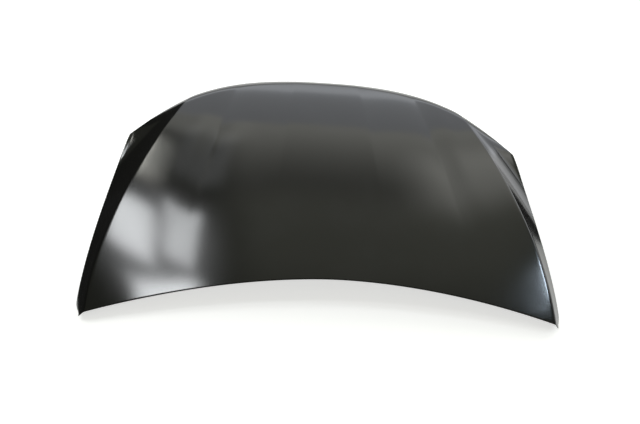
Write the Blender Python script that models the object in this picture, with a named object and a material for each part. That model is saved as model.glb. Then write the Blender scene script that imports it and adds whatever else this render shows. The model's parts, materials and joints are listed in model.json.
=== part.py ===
"""Car bonnet: a hemmed outer skin over a ribbed inner frame, with hinge, latch and prop fittings.

Metres, +Z up. +Y runs from the rear edge to the nose and +X to the right. The bonnet lies hollow
side down on the plane z = 0, on its nose and both sides, with the middle of its plan at the origin.
"""

import math
from collections import namedtuple

import bmesh
import bpy
from mathutils import Matrix, Vector

# Outline of the panel in plan
REAR_WIDTH = 1.460
NOSE_WIDTH = 1.324
LENGTH = 0.858
REAR_SWEEP = 0.098
REAR_SWEEP_POWER = 1.88
NOSE_SWEEP = 0.345
NOSE_SWEEP_POWER = 2.84
SIDE_BOW = 0.018
CORNER_TUCK = 0.021
CORNER_TUCK_REACH = 0.039

# Curvature of the panel
RISE = 0.048
FALL = 0.094
FALL_POWER = 3.98
REAR_CROWN = 0.069
NOSE_CROWN = 0.0185
CROWN_POWER = 1.70
NOSE_RADIUS = 0.080
NOSE_TURN = math.radians(62.0)
NOSE_TURN_LOSS = 0.85

# Shoulder crease: its place and how steeply the side falls away outside it
SHOULDER_INSET = 0.017
SHOULDER_NOSE = 0.465
SHOULDER_BOW = 0.064
REAR_SIDE_SLOPE = 1.06
NOSE_SIDE_SLOPE = 0.095

# Raised dome along the middle, between two steps that fade out towards the rear
DOME_REAR = 0.195
DOME_NOSE = 0.110
DOME_STEP_WIDTH = 0.018
DOME_HEIGHT = 0.0022
DOME_FADE_START = 0.22
DOME_FADE_END = 0.66

# Soft ridge on each side of the dome
RIDGE_REAR = 0.479
RIDGE_NOSE = 0.314
RIDGE_HEIGHT = 0.0040
RIDGE_SPREAD = 0.040

# Relief runs out before the nose edge
RELIEF_END = 0.012
RELIEF_RUN_OUT = 0.055

# Sheet metal and the hem that folds round the frame's flange
SKIN_GAUGE = 0.0007
FRAME_GAUGE = 0.0007
PLATE_GAUGE = 0.0015
GAP = 0.0003
HEM_WIDTH = 0.013
HEM_STACK = SKIN_GAUGE * 2.0 + FRAME_GAUGE + GAP * 2.0
OUTER_FOLD_STEPS = 3
INNER_FOLD_STEPS = 2

# Inner frame: depths below the skin's outer face, and widths of its lands, walls and ribs
LAND_DEPTH = 0.0045
CHANNEL_DEPTH = 0.022
WALL_RUN = 0.024
RIB_WALL = 0.014
LAND_WIDTH = 0.015
REAR_CHANNEL = 0.056
NOSE_CHANNEL = 0.110
SIDE_CHANNEL = 0.041
SHOULDER_MARGIN = 0.020
MIDDLE_RIB = 0.040
DOME_RIB = 0.040
RIDGE_RIB = 0.040
CROSS_RIB = 0.044
NOSE_ROLL_LINES = (0.046, 0.064)
WINDOW_CORNER = 0.012

# Hinge and striker fixings
BOLT_HOLE = 0.0085
BOLT_THREAD = 0.008
NUT_ACROSS = 0.0125
NUT_HEIGHT = 0.0065
HINGE_BOLT_PITCH = 0.064
HINGE_PLATE_LENGTH = 0.100
HINGE_PLATE_WIDTH = 0.042
STRIKER_BOLT_PITCH = 0.046
STRIKER_PLATE_WIDTH = 0.066
STRIKER_PLATE_LENGTH = 0.046
STRIKER_PLATE_GAUGE = 0.0025
STRIKER_WIRE = 0.008
STRIKER_LEG_PITCH = 0.032
STRIKER_DROP = 0.036
STRIKER_BEND = 0.011
BOLT_HEAD_ACROSS = 0.0126
BOLT_HEAD_HEIGHT = 0.0055
BOLT_FLANGE = 0.0165
BOLT_FLANGE_HEIGHT = 0.0015
BOLT_TAIL = 0.0015

# Prop bracket under the left side channel, held by its feet
PROP_BRACKET_WIDTH = 0.026
PROP_BRACKET_FOOT = 0.010
PROP_BRACKET_BRIDGE = 0.020
PROP_BRACKET_DROP = 0.007
PROP_HOLE = 0.010

# Mastic pads between the frame's lands and the skin
MASTIC_WIDTH_SHARE = 0.7
MASTIC_LENGTH = 0.045

# How finely round shapes are cut, and the small edges that they share
HOLE_SIDES = 20
BOLT_SIDES = 12
NUT_SIDES = 6
CORNER_STEPS = 4
WIRE_BEND_STEPS = 5
EDGE_BREAK = 0.001
PLATE_CORNER = 0.006
DRILL_REACH = 0.008
SMOOTH_ANGLE = math.radians(35.0)
NORMAL_STEP = 0.001

Line = namedtuple("Line", "place depth")


def smooth_step(value):
    share = min(max(value, 0.0), 1.0)
    return share * share * (3.0 - 2.0 * share)


def blend(rear, nose, v):
    return rear * (1.0 - v) + nose * v


def swell(v):
    return 4.0 * v * (1.0 - v)


# Lines that run from the rear edge, v = 0, to the nose edge, v = 1, each giving its x

def half_width(v):
    tuck = CORNER_TUCK * math.exp(-((v * LENGTH / CORNER_TUCK_REACH) ** 2))
    return blend(REAR_WIDTH, NOSE_WIDTH, v) / 2.0 + SIDE_BOW * swell(v) - tuck


def shoulder_line(v):
    rear = REAR_WIDTH / 2.0 - CORNER_TUCK - SHOULDER_INSET
    return blend(rear, SHOULDER_NOSE, v) + SHOULDER_BOW * swell(v)


def dome_line(v):
    return blend(DOME_REAR, DOME_NOSE, v)


def ridge_line(v):
    return blend(RIDGE_REAR, RIDGE_NOSE, v)


def centre_line(v):
    return 0.0


def edge_lines(across):
    """The y of the rear and nose edges at a share of the half width."""
    rear = -REAR_SWEEP * across ** REAR_SWEEP_POWER
    nose = LENGTH - NOSE_SWEEP * across ** NOSE_SWEEP_POWER
    return rear, nose


def nose_roll(distance, across):
    """How far the rolled nose drops the surface at a distance behind the nose edge."""
    run = max(NOSE_RADIUS * math.sin(NOSE_TURN) - distance, 0.0)
    drop = NOSE_RADIUS - math.sqrt(NOSE_RADIUS ** 2 - run ** 2)
    return drop * (1.0 - NOSE_TURN_LOSS * across ** 3)


def relief(x, v, distance):
    """Height of the dome's steps and the side ridges over the plain panel."""
    fade = smooth_step((v - DOME_FADE_START) / (DOME_FADE_END - DOME_FADE_START))
    fade *= smooth_step((distance - RELIEF_END) / RELIEF_RUN_OUT)
    dome = smooth_step((dome_line(v) - x) / DOME_STEP_WIDTH + 0.5)
    ridge = math.exp(-(((x - ridge_line(v)) / RIDGE_SPREAD) ** 2))
    return fade * (DOME_HEIGHT * dome + RIDGE_HEIGHT * ridge)


def skin_point(x, v):
    """A point of the skin's outer face, in the panel's own frame."""
    side = abs(x)
    across = side / half_width(v)
    rear, nose = edge_lines(across)
    y = blend(rear, nose, v)
    distance = (nose - rear) * (1.0 - v)
    along = y / LENGTH
    z = RISE * along - FALL * max(along, 0.0) ** FALL_POWER
    z -= blend(REAR_CROWN, NOSE_CROWN, v) * (2.0 * side / REAR_WIDTH) ** CROWN_POWER
    z -= blend(REAR_SIDE_SLOPE, NOSE_SIDE_SLOPE, v) * max(side - shoulder_line(v), 0.0)
    z -= nose_roll(distance, across)
    z += relief(side, v, distance)
    return Vector((x, y, z))


def skin_normal(x, v):
    across = skin_point(x + NORMAL_STEP, v) - skin_point(x - NORMAL_STEP, v)
    along = skin_point(x, v + NORMAL_STEP) - skin_point(x, v - NORMAL_STEP)
    return across.cross(along).normalized()


# Grid of lines that the skin and the frame share

def beside(base, offset):
    return lambda at: base(at) + offset


def between(first, second, share):
    return lambda at: blend(first(at), second(at), share)


def filled(first, second, count):
    """Lines at the lands' depth that divide the strip between two lines evenly."""
    shares = [(step + 1.0) / (count + 1.0) for step in range(count)]
    return [Line(between(first, second, share), LAND_DEPTH) for share in shares]


def rib(base, first, second):
    """Lines across a rib whose channel runs between two offsets from a base line."""
    return [
        Line(beside(base, first - RIB_WALL - LAND_WIDTH), LAND_DEPTH),
        Line(beside(base, first - RIB_WALL), LAND_DEPTH),
        Line(beside(base, first), CHANNEL_DEPTH),
        Line(beside(base, second), CHANNEL_DEPTH),
        Line(beside(base, second + RIB_WALL), LAND_DEPTH),
        Line(beside(base, second + RIB_WALL + LAND_WIDTH), LAND_DEPTH),
    ]


def column_lines():
    """Lines from the centre to the right edge, and the pairs of lines that bound windows."""
    half_step = DOME_STEP_WIDTH / 2.0
    middle = [Line(centre_line, CHANNEL_DEPTH)] + rib(centre_line, 0.0, MIDDLE_RIB / 2.0)[3:]
    dome = rib(dome_line, half_step, half_step + DOME_RIB)
    ridge = rib(ridge_line, -RIDGE_RIB, 0.0)
    channel_end = beside(shoulder_line, -SHOULDER_MARGIN)
    side = rib(shoulder_line, -SHOULDER_MARGIN - SIDE_CHANNEL, -SHOULDER_MARGIN)[:3]
    flange = beside(half_width, -HEM_WIDTH)
    groups = [middle, dome, ridge, side]
    lines = list(middle)
    windows = []
    for inner, outer, count in zip(groups, groups[1:], (1, 2, 1)):
        first = len(lines) - 1
        lines += filled(inner[-1].place, outer[0].place, count) + outer
        windows.append((first, first + count + 1))
    lines.append(Line(channel_end, CHANNEL_DEPTH))
    lines.append(Line(shoulder_line, CHANNEL_DEPTH))
    lines += [Line(line.place, CHANNEL_DEPTH) for line in filled(shoulder_line, flange, 3)]
    lines.append(Line(flange, CHANNEL_DEPTH))
    lines.append(Line(half_width, CHANNEL_DEPTH))
    return lines, windows


# Places along the panel's length at one column, where it is a given span long

def rear_edge(span):
    return 0.0


def mid_length(span):
    return span / 2.0


def nose_edge(span):
    return span


def row_lines():
    """Lines from the rear edge to the nose edge, each placed for the panel's length there."""
    foot = HEM_WIDTH + WALL_RUN
    rear_end = foot + REAR_CHANNEL
    nose_end = foot + NOSE_CHANNEL
    start = [Line(beside(rear_edge, offset), CHANNEL_DEPTH) for offset in (0.0, HEM_WIDTH, foot)]
    start += rib(rear_edge, foot, rear_end)[3:]
    cross = rib(mid_length, -CROSS_RIB / 2.0, CROSS_RIB / 2.0)
    end = rib(nose_edge, -nose_end, -foot)[:3]
    offsets = sorted(NOSE_ROLL_LINES, reverse=True) + [foot, HEM_WIDTH, 0.0]
    end += [Line(beside(nose_edge, -offset), CHANNEL_DEPTH) for offset in offsets]
    lines = list(start)
    windows = []
    for group, previous in ((cross, start), (end, cross)):
        first = len(lines) - 1
        lines += filled(previous[-1].place, group[0].place, 2) + group
        windows.append((first, first + 3))
    return lines, windows


COLUMNS, WINDOW_COLUMNS = column_lines()
ROWS, WINDOW_ROWS = row_lines()
LAST_COLUMN = len(COLUMNS) - 1
LAST_ROW = len(ROWS) - 1


def grid_place(column, row):
    """x and v where a column crosses a row. A column left of the centre is negative."""
    line = COLUMNS[abs(column)]
    v = 0.5
    for _ in range(3):
        across = line.place(v) / half_width(v)
        rear, nose = edge_lines(across)
        v = ROWS[row].place(nose - rear) / (nose - rear)
    x = line.place(v)
    return (x if column >= 0 else -x), v


def cap_depth(distance):
    """Deepest the frame may be at a distance from the panel's edge."""
    hem = SKIN_GAUGE + GAP
    share = min(max((distance - HEM_WIDTH) / WALL_RUN, 0.0), 1.0)
    return blend(hem, CHANNEL_DEPTH, share)


def frame_depth(column, row, x, v):
    rear, nose = edge_lines(abs(x) / half_width(v))
    span = nose - rear
    depth = max(COLUMNS[abs(column)].depth, ROWS[row].depth)
    from_edges = (half_width(v) - abs(x), v * span, (1.0 - v) * span)
    return min(depth, cap_depth(min(from_edges)))


class Node:
    """One crossing of the grid: its point on the skin, the normal there and the frame's depth."""

    def __init__(self, column, row):
        x, v = grid_place(column, row)
        self.point = skin_point(x, v)
        self.normal = skin_normal(x, v)
        self.depth = frame_depth(column, row, x, v)

    def below(self, depth):
        return self.point - self.normal * depth


def all_nodes():
    columns = range(-LAST_COLUMN, LAST_COLUMN + 1)
    return {(column, row): Node(column, row) for column in columns for row in range(LAST_ROW + 1)}


def inward(column, row):
    """The neighbour of an edge node that lies one step in from the edge."""
    if abs(column) == LAST_COLUMN:
        column -= 1 if column > 0 else -1
    return column, min(max(row, 1), LAST_ROW - 1)


def edge_loop():
    """The grid's edge nodes in order, anticlockwise from above."""
    loop = [(column, 0) for column in range(-LAST_COLUMN, LAST_COLUMN)]
    loop += [(LAST_COLUMN, row) for row in range(LAST_ROW)]
    loop += [(column, LAST_ROW) for column in range(LAST_COLUMN, -LAST_COLUMN, -1)]
    loop += [(-LAST_COLUMN, row) for row in range(LAST_ROW, 0, -1)]
    return loop


def on_edge(column, row):
    return abs(column) == LAST_COLUMN or row in (0, LAST_ROW)


def rest_transform():
    """Turns and moves the panel so that its hem lies on the plane z = 0, at its nose and its sides."""
    radius = HEM_STACK / 2.0
    centres = [NODES[key].below(radius) for key in edge_loop()]
    tip = NODES[(0, LAST_ROW)].below(radius)
    rear_half = [point for point in centres if point.y < LENGTH / 2.0]
    pitch = max(math.atan2(tip.z - point.z, tip.y - point.y) for point in rear_half)
    turn = Matrix.Rotation(-pitch, 4, "X")
    turned = [turn @ point for point in centres]
    lengthwise = [point.y for point in turned]
    middle = (min(lengthwise) + max(lengthwise)) / 2.0
    lowest = min(point.z for point in turned) - radius
    return Matrix.Translation((0.0, -middle, -lowest)) @ turn


NODES = all_nodes()
REST = rest_transform()


# Building meshes

def make_object(name, mesh, colour, roughness, metallic):
    """One sub-part with its own material, placed in the panel's frame."""
    material = bpy.data.materials.new(name + "_material")
    material.use_nodes = True
    shader = material.node_tree.nodes["Principled BSDF"]
    shader.inputs["Base Color"].default_value = (*colour, 1.0)
    shader.inputs["Roughness"].default_value = roughness
    shader.inputs["Metallic"].default_value = metallic
    mesh.materials.append(material)
    part = bpy.data.objects.new(name, mesh)
    bpy.context.scene.collection.objects.link(part)
    part.parent = BONNET
    return part


def primer(name, mesh):
    return make_object(name, mesh, (0.022, 0.023, 0.025), 0.30, 0.0)


def zinc(name, mesh):
    return make_object(name, mesh, (0.55, 0.56, 0.56), 0.35, 1.0)


def mastic(name, mesh):
    return make_object(name, mesh, (0.30, 0.28, 0.24), 0.85, 0.0)


def finish_mesh(name, build, smooth=False):
    mesh = bpy.data.meshes.new(name)
    build.to_mesh(mesh)
    build.free()
    if smooth:
        mesh.shade_smooth()
        mesh.set_sharp_from_angle(angle=SMOOTH_ANGLE)
    return mesh


def split_quad(build, first, second, third, fourth):
    """A quad as two triangles along the first and third corners."""
    build.faces.new((first, second, third))
    build.faces.new((first, third, fourth))


class Layer:
    """Vertices made on demand from a rule that places one for each grid node."""

    def __init__(self, build, rule):
        self.build = build
        self.rule = rule
        self.made = {}

    def __getitem__(self, key):
        if key not in self.made:
            self.made[key] = self.build.verts.new(self.rule(*key))
        return self.made[key]


def cell_face(build, layer, column, row, upward):
    """Two triangles over one cell, split along the same diagonal whichever way they face."""
    first = layer[(column, row)]
    second = layer[(column + 1, row)]
    third = layer[(column + 1, row + 1)]
    fourth = layer[(column, row + 1)]
    if upward:
        split_quad(build, first, second, third, fourth)
    else:
        split_quad(build, first, fourth, third, second)


def outward_directions():
    """For each edge node, the direction in the skin's surface that points away from the panel."""
    loop = edge_loop()
    directions = {}
    for place, key in enumerate(loop):
        before = NODES[loop[place - 1]].point
        after = NODES[loop[(place + 1) % len(loop)]].point
        directions[key] = (after - before).cross(NODES[key].normal).normalized()
    return directions


def outer_skin():
    """The skin: two faces, and a hem folded back under its whole edge."""
    build = bmesh.new()
    radius = HEM_STACK / 2.0
    outward = outward_directions()
    loop = edge_loop()
    top = Layer(build, lambda column, row: NODES[(column, row)].point)
    under = Layer(build, lambda column, row: NODES[(column, row)].below(SKIN_GAUGE))
    flange_bottom = Layer(build, lambda column, row: NODES[(column, row)].below(HEM_STACK))
    flange_top = Layer(build, lambda column, row: NODES[(column, row)].below(HEM_STACK - SKIN_GAUGE))
    for column in range(-LAST_COLUMN, LAST_COLUMN):
        for row in range(LAST_ROW):
            cell_face(build, top, column, row, True)
            cell_face(build, under, column, row, False)
            if column in (-LAST_COLUMN, LAST_COLUMN - 1) or row in (0, LAST_ROW - 1):
                cell_face(build, flange_bottom, column, row, False)
                cell_face(build, flange_top, column, row, True)

    def fold(size, steps, first, last):
        """Vertices round the fold at each edge node, from one layer to the other."""
        rings = {}
        for key in loop:
            centre = NODES[key].below(radius)
            ring = [first[key]]
            for step in range(1, steps):
                angle = math.pi * step / steps
                spoke = outward[key] * math.sin(angle) + NODES[key].normal * math.cos(angle)
                ring.append(build.verts.new(centre + spoke * size))
            rings[key] = ring + [last[key]]
        return rings

    outer_fold = fold(radius, OUTER_FOLD_STEPS, top, flange_bottom)
    inner_fold = fold(radius - SKIN_GAUGE, INNER_FOLD_STEPS, under, flange_top)
    for place, key in enumerate(loop):
        following = loop[(place + 1) % len(loop)]
        for step in range(OUTER_FOLD_STEPS):
            here = outer_fold[key]
            there = outer_fold[following]
            split_quad(build, here[step], here[step + 1], there[step + 1], there[step])
        for step in range(INNER_FOLD_STEPS):
            here = inner_fold[key]
            there = inner_fold[following]
            split_quad(build, here[step], there[step], there[step + 1], here[step + 1])
    inner_loop = []
    for key in loop:
        if inward(*key) not in inner_loop:
            inner_loop.append(inward(*key))
    for place, key in enumerate(inner_loop):
        following = inner_loop[(place + 1) % len(inner_loop)]
        split_quad(build, flange_top[key], flange_top[following],
                   flange_bottom[following], flange_bottom[key])
    return primer("outer_skin", finish_mesh("outer_skin", build, smooth=True))


def window_cells():
    cells = set()
    for first, last in WINDOW_COLUMNS:
        for start, end in WINDOW_ROWS:
            for column in range(first, last):
                for row in range(start, end):
                    cells.add((column, row))
                    cells.add((-column - 1, row))
    return cells


def window_corners():
    """Grid nodes at the windows' corners, with the two neighbours that the corner turns between."""
    corners = {}
    for first, last in WINDOW_COLUMNS:
        for start, end in WINDOW_ROWS:
            for column, along in ((first, 1), (last, -1)):
                for row, up in ((start, 1), (end, -1)):
                    corners[(column, row)] = ((column + along, row), (column, row + up))
                    corners[(-column, row)] = ((-column - along, row), (-column, row + up))
    return corners


def pad_plane(columns, rows):
    """The flat seat that best fits the frame's top face between two columns and two rows."""
    keys = [(column, row) for column in columns for row in rows]
    points = [NODES[key].below(NODES[key].depth) for key in keys]
    centre = sum(points, Vector()) / len(points)
    normal = sum((NODES[key].normal for key in keys), Vector()).normalized()
    run = points[2] + points[3] - points[0] - points[1]
    sideways = (run - normal * run.dot(normal)).normalized()
    forward = normal.cross(sideways)
    seat = Matrix((sideways, forward, normal)).transposed().to_4x4()
    seat.translation = centre
    return seat


SIDE_CHANNEL_END = WINDOW_COLUMNS[2][1] + 3
HINGE_COLUMNS = (WINDOW_COLUMNS[2][1] - 1, SIDE_CHANNEL_END)
HINGE_ROWS = (2, 3)
STRIKER_COLUMNS = (-2, 2)
STRIKER_ROWS = (LAST_ROW - 5, LAST_ROW - 4)
PROP_COLUMNS = (SIDE_CHANNEL_END - 1, SIDE_CHANNEL_END)
PROP_ROWS = (WINDOW_ROWS[0][0], WINDOW_ROWS[0][0] + 2)


def mirrored(columns):
    return tuple(sorted(-column for column in columns))


HINGE_SEATS = {
    "right": pad_plane(HINGE_COLUMNS, HINGE_ROWS),
    "left": pad_plane(mirrored(HINGE_COLUMNS), HINGE_ROWS),
}
STRIKER_SEAT = pad_plane(STRIKER_COLUMNS, STRIKER_ROWS)
PROP_SEAT = pad_plane(mirrored(PROP_COLUMNS), PROP_ROWS)


def flat_pads():
    """Which grid nodes each seat flattens."""
    return [
        (HINGE_SEATS["right"], HINGE_COLUMNS, HINGE_ROWS),
        (HINGE_SEATS["left"], mirrored(HINGE_COLUMNS), HINGE_ROWS),
        (STRIKER_SEAT, STRIKER_COLUMNS, STRIKER_ROWS),
        (PROP_SEAT, mirrored(PROP_COLUMNS), PROP_ROWS),
    ]


def flattened(point, seat):
    local = seat.inverted() @ point
    return seat @ Vector((local.x, local.y, 0.0))


def frame_points():
    """Where the frame's top face lies at each grid node."""
    points = {key: node.below(node.depth) for key, node in NODES.items()}
    for seat, columns, rows in flat_pads():
        for column in range(columns[0], columns[1] + 1):
            for row in range(rows[0], rows[1] + 1):
                points[(column, row)] = flattened(points[(column, row)], seat)
    for key, (aside, ahead) in window_corners().items():
        corner = points[key]
        across = (points[aside] - corner).normalized()
        along = (points[ahead] - corner).normalized()
        points[key] = corner + (across + along) * WINDOW_CORNER * (1.0 - math.sqrt(0.5))
    return points


def add_drill(target, name, diameter, placement):
    """Cuts a round hole along Z through a part and keeps the cutter out of the model."""
    build = bmesh.new()
    bmesh.ops.create_cone(build, cap_ends=True, segments=HOLE_SIDES, radius1=diameter / 2.0,
                          radius2=diameter / 2.0, depth=DRILL_REACH * 2.0)
    cutter = bpy.data.objects.new(name, finish_mesh(name, build))
    bpy.context.scene.collection.objects.link(cutter)
    cutter.parent = BONNET
    cutter.matrix_basis = placement
    cutter.hide_render = True
    cutter.display_type = "WIRE"
    cut = target.modifiers.new(name, "BOOLEAN")
    cut.operation = "DIFFERENCE"
    cut.object = cutter


def bolt_places(pitch):
    """Places of two bolts on a seat, a pitch apart along its X axis."""
    return [Matrix.Translation((side * pitch / 2.0, 0.0, 0.0)) for side in (-1, 1)]


def cut_bolt_holes(target, seat, places, label):
    for number, place in enumerate(places, 1):
        add_drill(target, f"{label}_{number}", BOLT_HOLE, seat @ place)


def under_frame_points(build, top):
    """The frame's lower face: one gauge below its bends, and square under the skin in the hem."""
    build.normal_update()
    points = {}
    for key, vertex in top.made.items():
        if on_edge(*key) or on_edge(abs(key[0]) + 1, key[1]) or key[1] in (1, LAST_ROW - 1):
            points[key] = NODES[key].below(SKIN_GAUGE + GAP + FRAME_GAUGE)
        else:
            points[key] = vertex.co - vertex.normal * vertex.calc_shell_factor() * FRAME_GAUGE
    return points


def inner_frame():
    """The pressed frame: one sheet with channels, ribs, lands and windows."""
    build = bmesh.new()
    points = frame_points()
    top = Layer(build, lambda column, row: points[(column, row)])
    open_cells = window_cells()
    cells = [(column, row) for column in range(-LAST_COLUMN, LAST_COLUMN) for row in range(LAST_ROW)]
    cells = [cell for cell in cells if cell not in open_cells]
    for cell in cells:
        cell_face(build, top, *cell, True)
    rims = [edge.link_loops[0] for edge in build.edges if edge.is_boundary]
    rims = [(loop.vert, loop.link_loop_next.vert) for loop in rims]
    lower = under_frame_points(build, top)
    under = Layer(build, lambda column, row: lower[(column, row)])
    for cell in cells:
        cell_face(build, under, *cell, False)
    below = {vertex: under[key] for key, vertex in top.made.items()}
    for first, second in rims:
        build.faces.new((second, first, below[first], below[second]))
    frame = primer("inner_frame", finish_mesh("inner_frame", build, smooth=True))
    for side, seat in HINGE_SEATS.items():
        cut_bolt_holes(frame, seat, bolt_places(HINGE_BOLT_PITCH), f"hinge_drill_{side}")
    cut_bolt_holes(frame, STRIKER_SEAT, bolt_places(STRIKER_BOLT_PITCH), "striker_drill")
    return frame


def plate_mesh(name, width, length, bottom, top):
    """A flat plate with rounded corners, between two heights."""
    build = bmesh.new()
    outline = []
    for quarter, (side_x, side_y) in enumerate(((1, 1), (-1, 1), (-1, -1), (1, -1))):
        across = side_x * (width / 2.0 - PLATE_CORNER)
        along = side_y * (length / 2.0 - PLATE_CORNER)
        for step in range(CORNER_STEPS + 1):
            angle = math.pi / 2.0 * (quarter + step / CORNER_STEPS)
            spoke = Vector((math.cos(angle), math.sin(angle), 0.0)) * PLATE_CORNER
            outline.append(build.verts.new(Vector((across, along, bottom)) + spoke))
    face = build.faces.new(outline)
    lifted = bmesh.ops.extrude_face_region(build, geom=[face])["geom"]
    moved = [item for item in lifted if isinstance(item, bmesh.types.BMVert)]
    bmesh.ops.translate(build, verts=moved, vec=(0.0, 0.0, top - bottom))
    bmesh.ops.recalc_face_normals(build, faces=build.faces)
    return finish_mesh(name, build)


def reinforcement(name, seat, width, length, places):
    """A plate that lies on the frame's flat seat, on the side towards the skin."""
    plate = primer(name, plate_mesh(name, width, length, GAP, GAP + PLATE_GAUGE))
    plate.matrix_basis = seat
    cut_bolt_holes(plate, seat, places, name + "_drill")
    return plate


def ring(build, radius, height, sides):
    """Vertices evenly round the Z axis."""
    angles = [math.tau * step / sides for step in range(sides)]
    places = [(radius * math.cos(angle), radius * math.sin(angle), height) for angle in angles]
    return [build.verts.new(place) for place in places]


def nut_mesh():
    """A hexagonal weld nut that stands on a reinforcement, with its bore."""
    build = bmesh.new()
    bottom = GAP * 2.0 + PLATE_GAUGE
    rings = []
    for radius in (NUT_ACROSS / math.sqrt(3.0), BOLT_HOLE / 2.0):
        for height in (bottom, bottom + NUT_HEIGHT):
            rings.append(ring(build, radius, height, NUT_SIDES))
    low, high, bore_low, bore_high = rings
    for step in range(NUT_SIDES):
        after = (step + 1) % NUT_SIDES
        build.faces.new((low[step], low[after], high[after], high[step]))
        build.faces.new((high[step], high[after], bore_high[after], bore_high[step]))
        build.faces.new((bore_high[step], bore_high[after], bore_low[after], bore_low[step]))
        build.faces.new((bore_low[step], bore_low[after], low[after], low[step]))
    return finish_mesh("weld_nut", build)


def place_copies(names, mesh, seat, places, finish):
    """One object for each place, all with the same mesh."""
    for name, place in zip(names, places):
        piece = finish(name, mesh.copy())
        piece.matrix_basis = seat @ place


def hinge_mountings():
    for side, seat in HINGE_SEATS.items():
        places = bolt_places(HINGE_BOLT_PITCH)
        reinforcement(f"hinge_reinforcement_{side}", seat, HINGE_PLATE_LENGTH, HINGE_PLATE_WIDTH, places)
        names = [f"hinge_nut_{side}_{number}" for number in (1, 2)]
        place_copies(names, nut_mesh(), seat, places, zinc)


def bolt_mesh():
    """A flange bolt, turned about Z, whose head bears on the underside of the striker plate."""
    bearing = -FRAME_GAUGE - GAP * 2.0 - STRIKER_PLATE_GAUGE
    flange = bearing - BOLT_FLANGE_HEIGHT
    head = flange - BOLT_HEAD_HEIGHT
    top = GAP * 2.0 + PLATE_GAUGE + NUT_HEIGHT + BOLT_TAIL
    shank = BOLT_THREAD / 2.0 - GAP * 2.0
    profile = [(shank - EDGE_BREAK, top), (shank, top - EDGE_BREAK), (shank, bearing),
               (BOLT_FLANGE / 2.0, bearing), (BOLT_FLANGE / 2.0, flange), (BOLT_HEAD_ACROSS / 2.0, flange),
               (BOLT_HEAD_ACROSS / 2.0, head + EDGE_BREAK), (BOLT_HEAD_ACROSS / 2.0 - EDGE_BREAK, head)]
    build = bmesh.new()
    rings = [ring(build, radius, height, BOLT_SIDES) for radius, height in profile]
    for upper, lower in zip(rings, rings[1:]):
        for step in range(BOLT_SIDES):
            after = (step + 1) % BOLT_SIDES
            build.faces.new((upper[step], lower[step], lower[after], upper[after]))
    build.faces.new(rings[0])
    build.faces.new(list(reversed(rings[-1])))
    return finish_mesh("striker_bolt", build)


def striker_loop():
    """A bent wire whose two ends stand in the striker plate's holes."""
    start = -FRAME_GAUGE - GAP * 2.0
    bottom = start - STRIKER_PLATE_GAUGE - STRIKER_DROP
    half = STRIKER_LEG_PITCH / 2.0
    bend = []
    for step in range(WIRE_BEND_STEPS + 1):
        angle = math.pi / 2.0 * step / WIRE_BEND_STEPS
        bend.append((half - STRIKER_BEND + STRIKER_BEND * math.cos(angle),
                     bottom + STRIKER_BEND - STRIKER_BEND * math.sin(angle)))
    front_leg = [(half, start)] + bend
    route = front_leg + [(-along, height) for along, height in reversed(front_leg)]
    curve = bpy.data.curves.new("striker_loop", "CURVE")
    curve.dimensions = "3D"
    curve.bevel_depth = STRIKER_WIRE / 2.0
    curve.bevel_resolution = 2
    curve.use_fill_caps = True
    spline = curve.splines.new("POLY")
    spline.points.add(len(route) - 1)
    for point, (along, height) in zip(spline.points, route):
        point.co = (0.0, along, height, 1.0)
    loop = zinc("striker_loop", curve)
    loop.matrix_basis = STRIKER_SEAT


def striker():
    places = bolt_places(STRIKER_BOLT_PITCH)
    reinforcement("striker_reinforcement", STRIKER_SEAT, STRIKER_PLATE_WIDTH, STRIKER_PLATE_LENGTH, places)
    top = -FRAME_GAUGE - GAP
    bottom = top - STRIKER_PLATE_GAUGE
    base = plate_mesh("striker_base", STRIKER_PLATE_WIDTH, STRIKER_PLATE_LENGTH, bottom, top)
    plate = zinc("striker_base", base)
    plate.matrix_basis = STRIKER_SEAT
    cut_bolt_holes(plate, STRIKER_SEAT, places, "striker_base_drill")
    for side, label in ((-1, "rear"), (1, "front")):
        leg = Matrix.Translation((0.0, side * STRIKER_LEG_PITCH / 2.0, 0.0))
        add_drill(plate, f"leg_drill_{label}", STRIKER_WIRE + GAP * 2.0, STRIKER_SEAT @ leg)
    striker_loop()
    place_copies(["striker_nut_1", "striker_nut_2"], nut_mesh(), STRIKER_SEAT, places, zinc)
    place_copies(["striker_bolt_1", "striker_bolt_2"], bolt_mesh(), STRIKER_SEAT, places, zinc)


def prop_bracket():
    """A bridge of folded strip under the left side channel, with a hole for the prop's end."""
    build = bmesh.new()
    top = -FRAME_GAUGE - GAP
    low = top - PROP_BRACKET_DROP
    half = PROP_BRACKET_BRIDGE / 2.0
    slant = PROP_BRACKET_DROP
    foot = half + slant + PROP_BRACKET_FOOT
    outline = [(-foot, top), (-half - slant, top), (-half, low),
               (half, low), (half + slant, top), (foot, top)]
    rows = []
    for side in (-1, 1):
        rows.append([build.verts.new((side * PROP_BRACKET_WIDTH / 2.0, y, z)) for y, z in outline])
    for step in range(len(outline) - 1):
        build.faces.new((rows[0][step], rows[1][step], rows[1][step + 1], rows[0][step + 1]))
    bracket = primer("prop_bracket", finish_mesh("prop_bracket", build))
    sheet = bracket.modifiers.new("sheet", "SOLIDIFY")
    sheet.thickness = PLATE_GAUGE
    sheet.offset = -1.0
    sheet.use_even_offset = True
    bracket.matrix_basis = PROP_SEAT
    add_drill(bracket, "prop_drill", PROP_HOLE, PROP_SEAT @ Matrix.Translation((0.0, 0.0, low)))


def cell_point(column, row, across, along, depth):
    """A point inside a grid cell, at a depth below the skin's outer face."""
    keys = [(column, row), (column + 1, row), (column, row + 1), (column + 1, row + 1)]
    corners = [NODES[key].below(depth) for key in keys]
    return corners[0].lerp(corners[1], across).lerp(corners[2].lerp(corners[3], across), along)


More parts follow.
